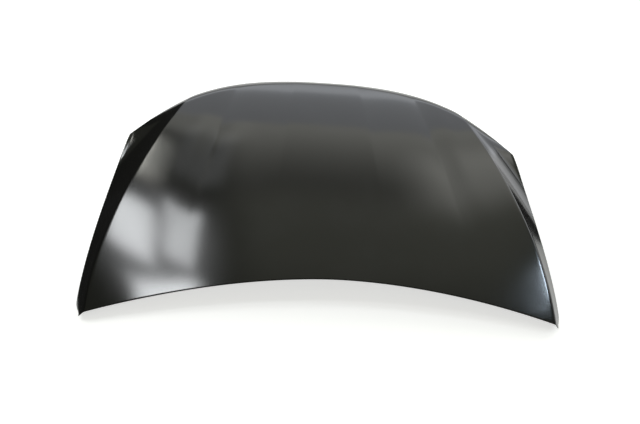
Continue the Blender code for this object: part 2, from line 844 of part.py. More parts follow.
def mastic_pad(name, column, row):
    """A pad of mastic that fills a land cell from the frame up to the skin."""
    build = bmesh.new()
    cell_length = (cell_point(column, row, 0.5, 1.0, 0.0) - cell_point(column, row, 0.5, 0.0, 0.0)).length
    margin = (1.0 - MASTIC_WIDTH_SHARE) / 2.0
    half = MASTIC_LENGTH / cell_length / 2.0
    corners = [(margin, 0.5 - half), (1.0 - margin, 0.5 - half),
               (1.0 - margin, 0.5 + half), (margin, 0.5 + half)]
    layers = []
    for depth in (LAND_DEPTH - GAP, SKIN_GAUGE + GAP):
        layers.append([build.verts.new(cell_point(column, row, *corner, depth)) for corner in corners])
    low, high = layers
    split_quad(build, high[0], high[1], high[2], high[3])
    split_quad(build, low[0], low[3], low[2], low[1])
    for step in range(4):
        after = (step + 1) % 4
        build.faces.new((low[step], low[after], high[after], high[step]))
    return mastic(name, finish_mesh(name, build))


def mastic_pads():
    """Pads on the lands beside each column of windows, at the middle of both window rows."""
    for number, (first, last) in enumerate(WINDOW_COLUMNS, 1):
        for label, (start, _) in zip(("rear", "front"), WINDOW_ROWS):
            mastic_pad(f"mastic_right_{label}_{number}", last, start + 1)
            mastic_pad(f"mastic_left_{label}_{number}", -last - 1, start + 1)


for old in list(bpy.data.objects):
    bpy.data.objects.remove(old)

BONNET = bpy.data.objects.new("bonnet", None)
bpy.context.scene.collection.objects.link(BONNET)
BONNET.matrix_basis = REST

outer_skin()
inner_frame()
hinge_mountings()
striker()
prop_bracket()
mastic_pads()
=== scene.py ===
"""Car bonnet in black primer, seen from above its rear edge on a white ground.

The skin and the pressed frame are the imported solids' sheets, built finer and with rounded bends.
The skin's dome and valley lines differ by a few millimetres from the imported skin's, to bend the
light it mirrors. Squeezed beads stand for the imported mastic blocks, and the other fixings are the
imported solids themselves.
"""

import json
import math

import bmesh
import bpy
import numpy as np
from mathutils import Matrix, Vector


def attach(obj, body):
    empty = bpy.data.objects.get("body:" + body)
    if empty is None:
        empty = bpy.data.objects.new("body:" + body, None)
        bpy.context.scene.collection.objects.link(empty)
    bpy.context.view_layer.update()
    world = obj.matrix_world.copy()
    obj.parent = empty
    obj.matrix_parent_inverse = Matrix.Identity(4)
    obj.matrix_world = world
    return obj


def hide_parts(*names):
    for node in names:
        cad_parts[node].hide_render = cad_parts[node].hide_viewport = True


# Outline of the panel in plan
REAR_WIDTH = 1.460
NOSE_WIDTH = 1.324
LENGTH = 0.858
REAR_SWEEP = 0.098
REAR_SWEEP_POWER = 1.88
NOSE_SWEEP = 0.345
NOSE_SWEEP_POWER = 2.84
SIDE_BOW = 0.018
CORNER_TUCK = 0.021
CORNER_TUCK_REACH = 0.039

# Curvature of the panel
RISE = 0.048
FALL = 0.094
FALL_POWER = 3.98
REAR_CROWN = 0.069
NOSE_CROWN = 0.0185
CROWN_POWER = 1.70
NOSE_RADIUS = 0.080
NOSE_TURN = math.radians(62.0)
NOSE_TURN_LOSS = 0.85

# Shoulder crease
SHOULDER_INSET = 0.017
SHOULDER_NOSE = 0.465
SHOULDER_BOW = 0.064
REAR_SIDE_SLOPE = 1.06
NOSE_SIDE_SLOPE = 0.095
SHOULDER_ROUND = 0.0030

# Raised dome, which falls away outside its crease to a valley line on each side
DOME_REAR = 0.195
DOME_NOSE = 0.110
DOME_HEIGHT = 0.0042
DOME_FALL = 0.060
DOME_ROUND = 0.0025
DOME_FADE_START = 0.22
DOME_FADE_END = 0.66
VALLEY_REAR = 0.479
VALLEY_NOSE = 0.314
VALLEY_DEPTH = 0.0030
VALLEY_APPROACH = 0.045
VALLEY_RETURN = 0.100
VALLEY_ROUND = 0.004
RELIEF_END = 0.012
RELIEF_RUN_OUT = 0.055

# Sheets and hem
SKIN_GAUGE = 0.0007
FRAME_GAUGE = 0.0007
GAP = 0.0003
HEM_WIDTH = 0.013
HEM_STACK = SKIN_GAUGE * 2.0 + FRAME_GAUGE + GAP * 2.0

# Pressed frame: depths below the skin's outer face, and widths of its channels, walls and lands
LAND_DEPTH = 0.0045
CHANNEL_DEPTH = 0.022
WALL_RUN = 0.024
RIB_WALL = 0.014
LAND_WIDTH = 0.015
REAR_CHANNEL = 0.056
NOSE_CHANNEL = 0.110
SIDE_CHANNEL = 0.041
SHOULDER_MARGIN = 0.020
MIDDLE_RIB = 0.040
DOME_RIB_START = 0.009
DOME_RIB = 0.040
VALLEY_RIB = 0.040
CROSS_RIB = 0.044
WINDOW_CORNER = 0.020
SIDE_ROOM = 0.162

# Room over which the frame bends to a plate's seat, and the mastic beads' shape
SEAT_FADE = 0.024
BEAD_SQUARENESS = 0.55

# Fineness of the meshes and of the sums that place their points
HEM_STEPS = 4
FOLD_STEPS = 6
WINDOW_CORNER_STEPS = 6
SLOPE_STEP = 0.0005
GRID_ROUNDS = 5
PLACE_ROUNDS = 8
SHARP_ANGLE = math.radians(40.0)

# Studio
CEILING = 2.5
SKY = (0.72, 0.86, 1.0)
DAYLIGHT = (0.95, 0.98, 1.0)
HAZE = (0.90, 0.93, 1.0)
NEUTRAL = (1.0, 1.0, 0.93)
OLIVE = (0.98, 1.0, 0.84)
ROOM_TONE = (0.140, 0.145, 0.118)
DARK_TONE = (0.03, 0.03, 0.03)
FILL_STRENGTH = 0.27
GROUND_TONE = 0.80
GROUND_LIFT = 0.60
SHADOW_FADE_START = 1.2
SHADOW_FADE_END = 2.4
SOFT = (0.15, 0.15, 0.15, 0.15)
HARD = 0.001

# Camera: lens in millimetres, angles in degrees
LENS = 28.96
SENSOR = 36.0
CAMERA_PLACE = (-0.1591, -0.9613, 1.4788)
CAMERA_TURN = -9.15
CAMERA_LOOK_DOWN = 59.27
CAMERA_ROLL = 10.39


def smooth_step(value):
    share = np.clip(value, 0.0, 1.0)
    return share * share * (3.0 - 2.0 * share)


def blend(rear, nose, v):
    return rear * (1.0 - v) + nose * v


def swell(v):
    return 4.0 * v * (1.0 - v)


def half_width(v):
    tuck = CORNER_TUCK * np.exp(-((v * LENGTH / CORNER_TUCK_REACH) ** 2))
    return blend(REAR_WIDTH, NOSE_WIDTH, v) / 2.0 + SIDE_BOW * swell(v) - tuck


def shoulder_line(v):
    rear = REAR_WIDTH / 2.0 - CORNER_TUCK - SHOULDER_INSET
    return blend(rear, SHOULDER_NOSE, v) + SHOULDER_BOW * swell(v)


def shoulder_foot(v):
    """Just outside the shoulder crease, and never as far out as the hem."""
    hem_line = half_width(v) - HEM_WIDTH
    return np.minimum(shoulder_line(v) + SHOULDER_ROUND * 4.0, hem_line - SHOULDER_ROUND)


def dome_line(v):
    return blend(DOME_REAR, DOME_NOSE, v)


def valley_line(v):
    return blend(VALLEY_REAR, VALLEY_NOSE, v)


def centre_line(v):
    return v * 0.0


def edge_lines(across):
    """The y of the rear and nose edges at a share of the half width."""
    rear = -REAR_SWEEP * across ** REAR_SWEEP_POWER
    nose = LENGTH - NOSE_SWEEP * across ** NOSE_SWEEP_POWER
    return rear, nose


def nose_roll(distance, across):
    """The drop of the rolled nose, which is less towards the corners."""
    run = np.maximum(NOSE_RADIUS * math.sin(NOSE_TURN) - distance, 0.0)
    drop = NOSE_RADIUS - np.sqrt(NOSE_RADIUS ** 2 - run ** 2)
    return drop * (1.0 - NOSE_TURN_LOSS * across ** 3)


def beyond(distance, radius):
    """A ramp that starts at zero distance, with its corner rounded."""
    return (distance + np.sqrt(distance ** 2 + radius ** 2)) / 2.0


def relief(x, v, distance):
    """Height of the dome and depth of the valley lines, faded out to the rear and at the nose."""
    fade = smooth_step((v - DOME_FADE_START) / (DOME_FADE_END - DOME_FADE_START))
    fade = fade * smooth_step((distance - RELIEF_END) / RELIEF_RUN_OUT)
    dome = np.exp(-beyond(x - dome_line(v), DOME_ROUND) / DOME_FALL)
    inward = beyond(valley_line(v) - x, VALLEY_ROUND)
    outward = beyond(x - valley_line(v), VALLEY_ROUND)
    valley = np.exp(-inward / VALLEY_APPROACH) * (1.0 - smooth_step(outward / VALLEY_RETURN))
    return fade * (DOME_HEIGHT * dome - VALLEY_DEPTH * valley)


def skin_points(x, v):
    """Points of the skin's outer face, in the panel's own frame."""
    side = np.abs(x)
    across = side / half_width(v)
    rear, nose = edge_lines(across)
    y = blend(rear, nose, v)
    distance = (nose - rear) * (1.0 - v)
    along = y / LENGTH
    z = RISE * along - FALL * np.maximum(along, 0.0) ** FALL_POWER
    z = z - blend(REAR_CROWN, NOSE_CROWN, v) * (2.0 * side / REAR_WIDTH) ** CROWN_POWER
    slope = blend(REAR_SIDE_SLOPE, NOSE_SIDE_SLOPE, v)
    z = z - slope * beyond(side - shoulder_line(v), SHOULDER_ROUND)
    z = z - nose_roll(distance, across) + relief(side, v, distance)
    return np.stack((x, y, z), axis=-1)


def unit(vectors):
    return vectors / np.linalg.norm(vectors, axis=-1, keepdims=True)


def skin_normals(x, v):
    across = skin_points(x + SLOPE_STEP, v) - skin_points(x - SLOPE_STEP, v)
    along = skin_points(x, v + SLOPE_STEP) - skin_points(x, v - SLOPE_STEP)
    return unit(np.cross(across, along))


# Grids: columns run from the centre to the right edge, rows from the rear edge to the nose

def column_lines(marks):
    """Lines at the marks and evenly between; a mark is a line, an offset and the steps to the next."""
    lines = []
    for (base, offset, steps), (next_base, next_offset, _) in zip(marks, marks[1:]):
        for step in range(steps):
            lines.append((base, offset, next_base, next_offset, step / steps))
    base, offset, _ = marks[-1]
    return lines + [(base, offset, base, offset, 0.0)]


def column_place(line, v):
    base, offset, next_base, next_offset, share = line
    return blend(base(v) + offset, next_base(v) + next_offset, share)


def row_stops(marks):
    """Rows at the marks and evenly between; a mark is a share of the length, an offset and steps."""
    stops = []
    for (share, offset, steps), (next_share, next_offset, _) in zip(marks, marks[1:]):
        for step in range(steps):
            at = step / steps
            stops.append((blend(share, next_share, at), blend(offset, next_offset, at)))
    return np.array(stops + [marks[-1][:2]])


def grid_places(lines, stops):
    """x and v of every crossing, first index the column from left to right, second the row."""
    columns = []
    for line in lines:
        v = np.full(len(stops), 0.5)
        for _ in range(GRID_ROUNDS):
            rear, nose = edge_lines(column_place(line, v) / half_width(v))
            v = stops[:, 0] + stops[:, 1] / (nose - rear)
        columns.append((column_place(line, v), v))
    right = np.array(columns)
    left = right[:0:-1] * np.array((-1.0, 1.0))[:, None]
    both = np.concatenate((left, right))
    return both[:, 0], both[:, 1]


def grid_normals(points):
    return unit(np.cross(np.gradient(points, axis=0), np.gradient(points, axis=1)))


# The panel lies on its nose and both sides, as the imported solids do

def rest_matrix(points, normals):
    """Turns and moves the panel so that its folded edge lies on the plane z = 0."""
    radius = HEM_STACK / 2.0
    centres = points - normals * radius
    edge = np.concatenate((centres[0], centres[-1], centres[:, 0], centres[:, -1]))
    tip = centres[len(centres) // 2, -1]
    rear_half = edge[edge[:, 1] < LENGTH / 2.0]
    pitch = np.max(np.arctan2(tip[2] - rear_half[:, 2], tip[1] - rear_half[:, 1]))
    turn = Matrix.Rotation(-pitch, 4, "X")
    turned = edge @ np.array(turn.to_3x3()).T
    middle = (turned[:, 1].min() + turned[:, 1].max()) / 2.0
    return Matrix.Translation((0.0, -middle, radius - turned[:, 2].min())) @ turn


def moved(points, place):
    return points @ np.array(place.to_3x3()).T + np.array(place.translation)


# Meshes

class Sheet:
    """Vertices and faces of one mesh, collected layer by layer."""

    def __init__(self):
        self.points = []
        self.faces = []
        self.count = 0

    def layer(self, points):
        """Adds a block of points and returns their numbers in the same arrangement."""
        numbers = np.arange(points.size // 3).reshape(points.shape[:-1]) + self.count
        self.points.append(points.reshape(-1, 3))
        self.count += points.size // 3
        return numbers

    def fill(self, numbers, upward=True, keep=None):
        """Faces over the cells of a layer; keep says which cells have one."""
        corners = [numbers[:-1, :-1], numbers[1:, :-1], numbers[1:, 1:], numbers[:-1, 1:]]
        quads = np.stack(corners if upward else corners[::-1], axis=-1)
        if keep is not None:
            quads = quads[keep]
        self.faces.append(quads.reshape(-1, 4))
        return self.faces[-1]

    def rims(self, faces, step):
        """Faces that join each open edge of some faces to the same edge some numbers further on."""
        starts = faces.ravel().tolist()
        ends = np.roll(faces, -1, axis=1).ravel().tolist()
        edges = dict.fromkeys(zip(starts, ends))
        open_edges = [(first, second) for first, second in edges if (second, first) not in edges]
        self.faces.append(np.array([(b, a, a + step, b + step) for a, b in open_edges]))

    def strip(self, first, second):
        """Faces between two loops of points that run the same way, closed round."""
        after_first = np.roll(first, -1)
        after_second = np.roll(second, -1)
        self.faces.append(np.stack((first, second, after_second, after_first), axis=-1))

    def mesh(self, name):
        """The mesh of all the faces, with only the points that they use."""
        used, numbers = np.unique(np.concatenate(self.faces), return_inverse=True)
        points = np.concatenate(self.points)[used]
        data = bpy.data.meshes.new(name)
        data.from_pydata(points.tolist(), [], numbers.reshape(-1, 4).tolist())
        data.shade_smooth()
        data.set_sharp_from_angle(angle=SHARP_ANGLE)
        return data


def edge_loop(grid):
    """The edge entries of a grid in order, anticlockwise from above."""
    return np.concatenate((grid[:-1, 0], grid[-1, :-1], grid[:0:-1, -1], grid[0, :0:-1]))


def outward_directions(points, normals):
    """At each edge point, the direction in the surface that points away from the panel."""
    loop = np.roll(points, -1, axis=0) - np.roll(points, 1, axis=0)
    return unit(np.cross(loop, normals))


def skin_sheet(points, normals):
    """The skin's two faces and the hem folded back under its whole edge."""
    sheet = Sheet()
    top = sheet.layer(points)
    under = sheet.layer(points - normals * SKIN_GAUGE)
    flange_top = sheet.layer(points - normals * (HEM_STACK - SKIN_GAUGE))
    flange_bottom = sheet.layer(points - normals * HEM_STACK)
    hem = np.ones((len(points) - 1, points.shape[1] - 1), bool)
    hem[HEM_STEPS:-HEM_STEPS, HEM_STEPS:-HEM_STEPS] = False
    sheet.fill(top)
    sheet.fill(under, upward=False)
    sheet.fill(flange_top, keep=hem)
    sheet.fill(flange_bottom, upward=False, keep=hem)
    edge = edge_loop(points)
    edge_normals = edge_loop(normals)
    outward = outward_directions(edge, edge_normals)
    centre = edge - edge_normals * HEM_STACK / 2.0
    outer = HEM_STACK / 2.0
    folds = ((outer, edge_loop(top), edge_loop(flange_bottom), False),
             (outer - SKIN_GAUGE, edge_loop(under), edge_loop(flange_top), True))
    for radius, start, end, inside in folds:
        ring = start
        for step in range(1, FOLD_STEPS + 1):
            angle = math.pi * step / FOLD_STEPS
            spokes = outward * math.sin(angle) + edge_normals * math.cos(angle)
            following = end if step == FOLD_STEPS else sheet.layer(centre + spokes * radius)
            if inside:
                sheet.strip(following, ring)
            else:
                sheet.strip(ring, following)
            ring = following
    inner = (slice(HEM_STEPS, -HEM_STEPS), slice(HEM_STEPS, -HEM_STEPS))
    sheet.strip(edge_loop(flange_bottom[inner]), edge_loop(flange_top[inner]))
    return sheet


def skin_grid():
    """Columns and rows of the skin, closer together at its creases, its hem and its nose."""
    columns = [
        (centre_line, 0.0, 12),
        (dome_line, -DOME_ROUND * 3.0, 8),
        (dome_line, DOME_ROUND * 3.0, 6),
        (dome_line, DOME_FALL, 6),
        (valley_line, -VALLEY_APPROACH, 8),
        (valley_line, -VALLEY_ROUND * 2.0, 8),
        (valley_line, VALLEY_ROUND * 2.0, 10),
        (shoulder_line, -SHOULDER_ROUND * 4.0, 12),
        (shoulder_foot, 0.0, 4),
        (half_width, -HEM_WIDTH, HEM_STEPS),
        (half_width, 0.0, 0),
    ]
    rows = [
        (0.0, 0.0, HEM_STEPS),
        (0.0, HEM_WIDTH, 10),
        (0.0, CORNER_TUCK_REACH * 2.0, 44),
        (1.0, -NOSE_RADIUS, 18),
        (1.0, -HEM_WIDTH, HEM_STEPS),
        (1.0, 0.0, 0),
    ]
    return column_lines(columns), row_stops(rows)


# The pressed frame

def outside(place, first, second):
    """How far a place lies outside a band."""
    return np.maximum(np.maximum(first - place, place - second), 0.0)


def frame_depth(x, v):
    """Depth of the frame's upper face: channels and ribs among lands, and a flange at the edge."""
    side = np.abs(x)
    rear, nose = edge_lines(side / half_width(v))
    span = nose - rear
    from_rear = v * span
    foot = HEM_WIDTH + WALL_RUN
    half_rib = CROSS_RIB / 2.0
    bands = [
        outside(side, 0.0, MIDDLE_RIB / 2.0),
        outside(side - dome_line(v), DOME_RIB_START, DOME_RIB_START + DOME_RIB),
        outside(side - valley_line(v), -VALLEY_RIB, 0.0),
        outside(side - shoulder_line(v), -SHOULDER_MARGIN - SIDE_CHANNEL, REAR_WIDTH),
        outside(from_rear, 0.0, foot + REAR_CHANNEL),
        outside(from_rear - span / 2.0, -half_rib, half_rib),
        outside(span - from_rear, 0.0, foot + NOSE_CHANNEL),
    ]
    raised = 1.0
    for band in bands:
        raised = raised * (1.0 - smooth_step(1.0 - band / RIB_WALL))
    depth = blend(CHANNEL_DEPTH, LAND_DEPTH, raised)
    lowered = 1.0
    for edge in (half_width(v) - side, from_rear, span - from_rear):
        lowered = lowered * smooth_step((edge - HEM_WIDTH) / WALL_RUN)
    return blend(SKIN_GAUGE + GAP, depth, lowered)


def frame_points(x, v):
    """Points of the frame's upper face; its side walls run straight past the skin's creases."""
    points = skin_points(x, v) - skin_normals(x, v) * frame_depth(x, v)[..., None]
    side = np.abs(x)
    foot = shoulder_line(v) - SHOULDER_MARGIN
    top = half_width(v) - HEM_WIDTH
    if np.all((side <= foot) | (side >= top)):
        return points
    share = np.clip((side - foot) / (top - foot), 0.0, 1.0)
    start = frame_points(np.sign(x) * foot, v)
    end = frame_points(np.sign(x) * top, v)
    wall = blend(start, end, share[..., None])
    wall[..., 2] = blend(start[..., 2], end[..., 2], smooth_step(share))
    rear, nose = edge_lines(side / half_width(v))
    from_rear = v * (nose - rear)
    from_nose = nose - rear - from_rear
    held = smooth_step((from_rear - HEM_WIDTH) / WALL_RUN)
    held = held * smooth_step((from_nose - HEM_WIDTH) / WALL_RUN)
    held = held * ((side > foot) & (side < top))
    return blend(points, wall, held[..., None])


def rib_marks(base, first, second, floor_steps):
    """Marks at a rib's land, wall, floor, wall and land."""
    inner = RIB_WALL + LAND_WIDTH
    return [
        (base, first - inner, 3),
        (base, first - RIB_WALL, 6),
        (base, first, floor_steps),
        (base, second, 6),
        (base, second + RIB_WALL, 3),
        (base, second + inner, WINDOW_CORNER_STEPS),
    ]


def with_windows(groups, middle_steps):
    """Joins groups of marks across windows; gives the marks and each window's first and last line."""
    marks = list(groups[0])
    windows = []
    for before, after in zip(groups, groups[1:]):
        first = sum(mark[2] for mark in marks[:-1])
        marks.append((before[-1][0], before[-1][1] + WINDOW_CORNER, middle_steps))
        marks.append((after[0][0], after[0][1] - WINDOW_CORNER, WINDOW_CORNER_STEPS))
        windows.append((first, sum(mark[2] for mark in marks)))
        marks += after
    return marks, windows


def side_line(v):
    """The shoulder line, held clear of the valley's rib at the nose so that no columns cross."""
    return np.maximum(shoulder_line(v), valley_line(v) + SIDE_ROOM)


def frame_columns():
    side_end = -SHOULDER_MARGIN - SIDE_CHANNEL
    side = [
        (side_line, -SHOULDER_MARGIN, 12),
        (half_width, -HEM_WIDTH, 2),
        (half_width, 0.0, 0),
    ]
    return with_windows([
        [(centre_line, 0.0, 4)] + rib_marks(centre_line, 0.0, MIDDLE_RIB / 2.0, 4)[3:],
        rib_marks(dome_line, DOME_RIB_START, DOME_RIB_START + DOME_RIB, 6),
        rib_marks(valley_line, -VALLEY_RIB, 0.0, 6),
        rib_marks(side_line, side_end, -SHOULDER_MARGIN, 6)[:3] + side,
    ], 9)


def frame_rows():
    foot = HEM_WIDTH + WALL_RUN
    rear = [(0.0, 0.0, 2), (0.0, HEM_WIDTH, 8), (0.0, foot, 8)]
    nose = [(1.0, -foot, 8), (1.0, -HEM_WIDTH, 2), (1.0, 0.0, 0)]
    return with_windows([
        rear + rib_marks(0.0, foot, foot + REAR_CHANNEL, 8)[3:],
        rib_marks(0.5, -CROSS_RIB / 2.0, CROSS_RIB / 2.0, 6),
        rib_marks(1.0, -foot - NOSE_CHANNEL, -foot, 14)[:3] + nose,
    ], 14)


def frame_grid():
    """x and v of the frame's grid, and the corners of each window as column and row pairs."""
    columns, window_columns = frame_columns()
    rows, window_rows = frame_rows()
    x, v = grid_places(column_lines(columns), row_stops(rows))
    centre = len(x) // 2
    spans = [(centre + first, centre + last) for first, last in window_columns]
    spans += [(centre - last, centre - first) for first, last in window_columns]
    windows = [(span, ends) for span in spans for ends in window_rows]
    rear, nose = edge_lines(np.abs(x) / half_width(v))
    span = nose - rear
    for (left, right), (low, high) in windows:
        for column, aside in ((left, 1), (right, -1)):
            for row, ahead in ((low, 1), (high, -1)):
                round_corner(x, v, span, (column, row), (aside, ahead))
    return x, v, windows


def round_corner(x, v, span, corner, inward):
    """Moves the grid's crossings along two window edges onto an arc between them."""
    column, row = corner
    aside, ahead = inward

    def shift(at, by_x, by_y):
        x[at] += aside * by_x
        v[at] += ahead * by_y / span[at]

    for step in range(WINDOW_CORNER_STEPS):
        turn = math.pi / 4.0 * (1.0 - step / WINDOW_CORNER_STEPS)
        along = WINDOW_CORNER * (1.0 - math.sin(turn) - step / WINDOW_CORNER_STEPS)
        in_from_edge = WINDOW_CORNER * (1.0 - math.cos(turn))
        shift((column + aside * step, row), along, in_from_edge)
        if step:
            shift((column, row + ahead * step), in_from_edge, along)


class Seat:
    """Middle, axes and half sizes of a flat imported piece; its third axis points up."""

    def __init__(self, node):
        points = np.array([vertex.co for vertex in frame["nodes"][node].data.vertices])
        middle = points.mean(axis=0)
        self.axes = np.linalg.svd(points - middle, full_matrices=False)[2]
        if self.axes[2, 2] < 0.0:
            self.axes[2] *= -1.0
        local = (points - middle) @ self.axes.T
        low = local.min(axis=0)
        high = local.max(axis=0)
        self.half = (high - low) / 2.0
        self.middle = middle + (low + high) / 2.0 @ self.axes

    def flatten(self, points, height):
        """Lays the points under or over the piece on the plane at a height from its middle."""
        local = (points - self.middle) @ self.axes.T
        beyond_ends = np.maximum(np.abs(local[..., :2]) - self.half[:2], 0.0)
        share = smooth_step(1.0 - np.hypot(beyond_ends[..., 0], beyond_ends[..., 1]) / SEAT_FADE)
        local[..., 2] = blend(local[..., 2], height, share)
        return local @ self.axes + self.middle


def frame_sheet(place):
    """The frame's two faces and the rims at its outside and round its windows."""
    x, v, windows = frame_grid()
    points = moved(frame_points(x, v), place)
    for node in ("hinge_reinforcement_left", "hinge_reinforcement_right", "striker_reinforcement"):
        plate = Seat(node)
        points = plate.flatten(points, -plate.half[2] - GAP)
    bracket = Seat("prop_bracket")
    points = bracket.flatten(points, bracket.half[2] + GAP + FRAME_GAUGE)
    sheet = Sheet()
    top = sheet.layer(points)
    under = sheet.layer(points - grid_normals(points) * FRAME_GAUGE)
    keep = np.ones((len(x) - 1, x.shape[1] - 1), bool)
    for (left, right), (low, high) in windows:
        keep[left:right, low:high] = False
    faces = sheet.fill(top, keep=keep)
    sheet.fill(under, upward=False, keep=keep)
    sheet.rims(faces, under[0, 0] - top[0, 0])
    return sheet


# Mastic beads

def place_on_panel(point, place):
    """x and v of the panel's surface next to a point of the row frame."""
    x, y, _ = place.inverted() @ Vector(point)
    v = 0.5
    for _ in range(PLACE_ROUNDS):
        rear, nose = edge_lines(abs(x) / half_width(v))
        v = (y - rear) / (nose - rear)
    return x, v


def mastic_bead(node, place):
    """A squeezed bead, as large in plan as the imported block, that fills the gap from land to skin."""
    block = Seat(node)
    x, v = place_on_panel(block.middle, place)
    surface = moved(skin_points(np.array(x), np.array(v)), place)
    normal = np.array(place.to_3x3()) @ skin_normals(np.array(x), np.array(v))
    axes = np.array([block.axes[0], block.axes[1], normal]).T
    half = np.array([block.half[0], block.half[1], (LAND_DEPTH - SKIN_GAUGE) / 2.0])
    middle = surface - normal * (LAND_DEPTH + SKIN_GAUGE) / 2.0
    ball = bmesh.new()
    bmesh.ops.create_uvsphere(ball, u_segments=32, v_segments=16, radius=1.0)
    for vertex in ball.verts:
        squared = np.sign(vertex.co) * np.abs(vertex.co) ** BEAD_SQUARENESS
        vertex.co = middle + axes @ (squared * half)
    data = bpy.data.meshes.new(node)
    ball.to_mesh(data)
    ball.free()
    data.shade_smooth()
    return data


# Materials

def shader_nodes(name, colour, roughness, metallic):
    """A new material with its constant values set, its nodes and its Principled shader."""
    material = bpy.data.materials.new(name)
    material.use_nodes = True
    tree = material.node_tree
    shader = tree.nodes["Principled BSDF"]
    shader.inputs["Base Color"].default_value = (*colour, 1.0)
    shader.inputs["Roughness"].default_value = roughness
    shader.inputs["Metallic"].default_value = metallic
    return material, tree, shader


def noise(tree, scale, detail):
    """Noise over the object's own coordinates."""
    place = tree.nodes.new("ShaderNodeTexCoord")
    texture = tree.nodes.new("ShaderNodeTexNoise")
    texture.inputs["Scale"].default_value = scale
    texture.inputs["Detail"].default_value = detail
    tree.links.new(place.outputs["Object"], texture.inputs["Vector"])
    return texture.outputs["Fac"]


def graded(tree, source, low, high, start=0.3, end=0.7):
    """A value that runs from low to high while the source runs from start to end."""
    grade = tree.nodes.new("ShaderNodeMapRange")
    grade.interpolation_type = "SMOOTHSTEP"
    grade.inputs["From Min"].default_value = start
    grade.inputs["From Max"].default_value = end
    grade.inputs["To Min"].default_value = low
    grade.inputs["To Max"].default_value = high
    tree.links.new(source, grade.inputs["Value"])
    return grade.outputs["Result"]


def mixed_colour(tree, share, first, second):
    mix = tree.nodes.new("ShaderNodeMix")
    mix.data_type = "RGBA"
    mix.inputs["A"].default_value = (*first, 1.0)
    mix.inputs["B"].default_value = (*second, 1.0)
    tree.links.new(share, mix.inputs["Factor"])
    return mix.outputs["Result"]


def add_bump(tree, shader, height, distance):
    bump = tree.nodes.new("ShaderNodeBump")
    bump.inputs["Distance"].default_value = distance
    bump.inputs["Strength"].default_value = 1.0
    tree.links.new(height, bump.inputs["Height"])
    tree.links.new(bump.outputs["Normal"], shader.inputs["Normal"])


def primer_material(name, colour, dusty, low_roughness, high_roughness):
    """Black electrocoat: semi-gloss, with a faint orange peel, dull patches and rubbed dust."""
    material, tree, shader = shader_nodes(name, colour, low_roughness, 0.0)
    patches = noise(tree, scale=3.5, detail=5.0)
    rough = graded(tree, patches, low_roughness, high_roughness)
    tree.links.new(rough, shader.inputs["Roughness"])
    dust = graded(tree, noise(tree, scale=7.0, detail=6.0), 0.0, 1.0, start=0.45, end=0.75)
    tree.links.new(mixed_colour(tree, dust, colour, dusty), shader.inputs["Base Color"])
    add_bump(tree, shader, noise(tree, scale=420.0, detail=2.0), distance=0.00002)
    return material


def zinc_material():
    """Zinc plate: bright grey metal with a faint cloudy passivation."""
    material, tree, shader = shader_nodes("zinc", (0.62, 0.63, 0.64), 0.35, 1.0)
    cloud = noise(tree, scale=160.0, detail=4.0)
    colour = mixed_colour(tree, cloud, (0.60, 0.62, 0.63), (0.74, 0.72, 0.64))
    tree.links.new(colour, shader.inputs["Base Color"])
    tree.links.new(graded(tree, cloud, 0.26, 0.46), shader.inputs["Roughness"])
    add_bump(tree, shader, noise(tree, scale=900.0, detail=3.0), distance=0.00004)
    return material


def mastic_material():
    """Anti-flutter mastic: matte beige rubber with a rough face."""
    material, tree, shader = shader_nodes("mastic", (0.30, 0.28, 0.24), 0.85, 0.0)
    grain = noise(tree, scale=300.0, detail=4.0)
    colour = mixed_colour(tree, grain, (0.24, 0.22, 0.18), (0.36, 0.33, 0.28))
    tree.links.new(colour, shader.inputs["Base Color"])
    tree.links.new(graded(tree, grain, 0.75, 0.95), shader.inputs["Roughness"])
    add_bump(tree, shader, grain, distance=0.0004)
    return material


# Stage

def background_rays(tree):
    """1 for a ray that shows the background: from the camera, mirrored, or through something clear."""
    path = tree.nodes.new("ShaderNodeLightPath")
    seen = path.outputs["Is Camera Ray"]
    for kind in ("Is Glossy Ray", "Is Transmission Ray"):
        larger = tree.nodes.new("ShaderNodeMath")
        larger.operation = "MAXIMUM"
        tree.links.new(seen, larger.inputs[0])
        tree.links.new(path.outputs[kind], larger.inputs[1])
        seen = larger.outputs["Value"]
    return seen


def product(tree, first, second):
    times = tree.nodes.new("ShaderNodeMath")
    times.operation = "MULTIPLY"
    tree.links.new(first, times.inputs[0])
    tree.links.new(second, times.inputs[1])
    return times.outputs["Value"]


def ground_material():
    """White, with the object's shadow near it."""
    material, tree, shader = shader_nodes("ground", (GROUND_TONE, GROUND_TONE, GROUND_TONE), 0.9, 0.0)
    shader.inputs["Emission Color"].default_value = (1.0, 1.0, 1.0, 1.0)
    place = tree.nodes.new("ShaderNodeTexCoord")
    distance = tree.nodes.new("ShaderNodeVectorMath")
    distance.operation = "LENGTH"
    tree.links.new(place.outputs["Object"], distance.inputs[0])
    far = distance.outputs["Value"]
    tone = graded(tree, far, GROUND_TONE, 0.0, SHADOW_FADE_START, SHADOW_FADE_END)
    tree.links.new(tone, shader.inputs["Base Color"])
    lift = graded(tree, far, GROUND_LIFT, 1.0, SHADOW_FADE_START, SHADOW_FADE_END)
    tree.links.new(product(tree, background_rays(tree), lift), shader.inputs["Emission Strength"])
    return material


def flat_piece(name, place, size, turn=(0.0, 0.0, 0.0)):
    """A rectangle of the studio, size across and along."""
    across, along = size[0] / 2.0, size[1] / 2.0
    data = bpy.data.meshes.new(name)
    near = [(-across, -along, 0.0), (across, -along, 0.0)]
    far = [(across, along, 0.0), (-across, along, 0.0)]
    data.from_pydata(near + far, [], [(0, 1, 2, 3)])
    item = bpy.data.objects.new(name, data)
    item.location = place
    item.rotation_euler = turn
    bpy.context.scene.collection.objects.link(item)
    return item


